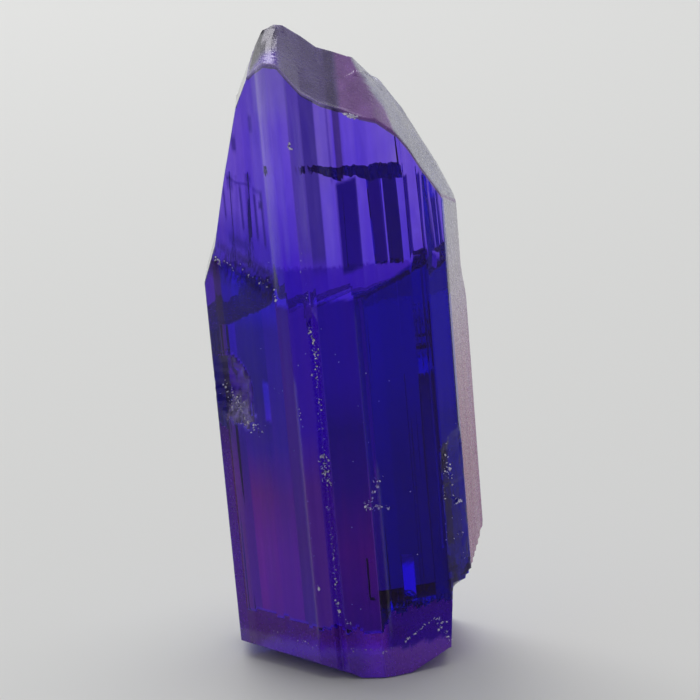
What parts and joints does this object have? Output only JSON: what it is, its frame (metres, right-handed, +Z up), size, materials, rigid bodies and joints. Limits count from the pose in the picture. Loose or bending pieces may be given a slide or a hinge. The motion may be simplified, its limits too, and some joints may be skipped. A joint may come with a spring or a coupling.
{
  "type": "rough tanzanite crystal",
  "caption": "Loose rough tanzanite: a clear, deep violet-blue striated prism with a slanting worn top and a broken base that it stands on.",
  "frame": {"origin": "middle of the box in X and Y, on the flat of the broken base that it stands on", "axes": "+Z up along the prism, -Y towards the best, striated side, +X to the right seen from there"},
  "size_m": [0.0062, 0.005, 0.0154],
  "materials": {
    "tanzanite": "clear violet-blue crystal, glossy on its faces and satin where it is broken"
  },
  "bodies": {
    "root": {"tanzanite_crystal": "tanzanite"}
  },
  "joints": []
}
